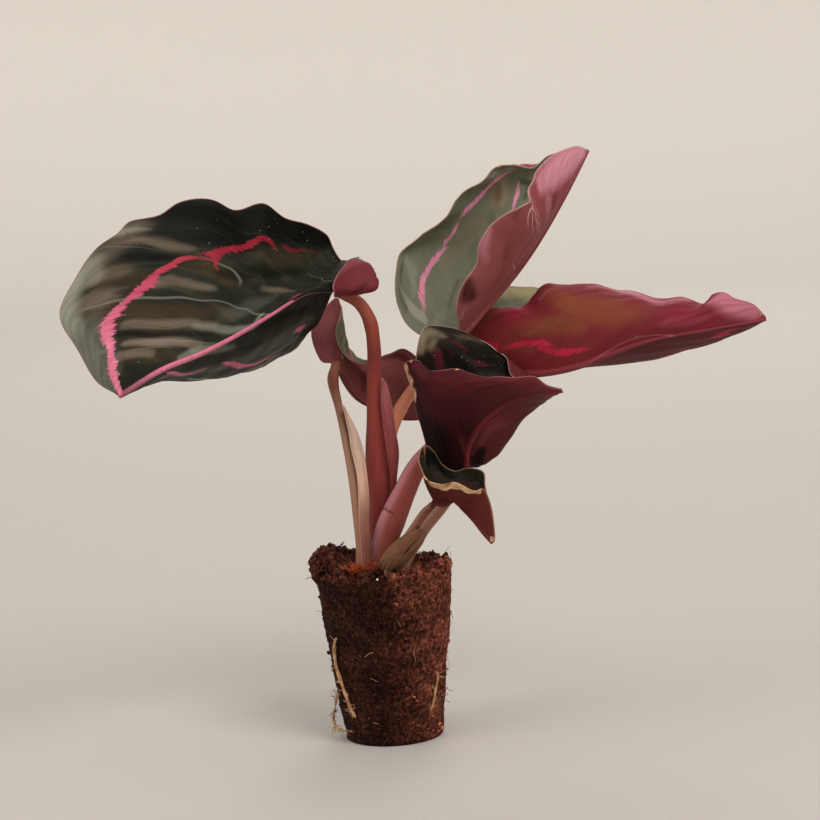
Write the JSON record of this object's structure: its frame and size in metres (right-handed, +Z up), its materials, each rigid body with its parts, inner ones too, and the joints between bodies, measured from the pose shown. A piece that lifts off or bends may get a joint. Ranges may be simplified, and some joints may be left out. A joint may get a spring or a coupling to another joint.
{
  "type": "rose-painted calathea plug plant",
  "caption": "Young prayer plant with rose-ringed green leaves, purple beneath, on leaning stalks from a tapered peat root plug.",
  "frame": {"origin": "centre of the flat underside of the root plug", "axes": "+Z up along the plug's axis, -Y towards the broad front of the plant, +X along its longest spread, to the right seen from the front"},
  "size_m": [0.1652, 0.0778, 0.142],
  "materials": {
    "peat": "matte",
    "leaf": "satin",
    "stalk": "satin",
    "sheath": "matte",
    "root": "matte"
  },
  "bodies": {
    "root": {"root_plug": "peat", "left_blade": "leaf", "upper_blade": "leaf", "right_blade": "leaf", "funnel_blade": "leaf", "back_blade": "leaf", "small_blade": "leaf", "left_stalk": "stalk", "back_stalk": "stalk", "upper_stalk": "stalk", "right_stalk": "stalk", "funnel_stalk": "stalk", "small_stalk": "stalk", "left_sheath": "sheath", "back_sheath": "sheath", "front_sheath": "sheath", "left_root": "root", "right_root": "root", "lower_root": "root", "rear_root": "root"}
  },
  "joints": []
}
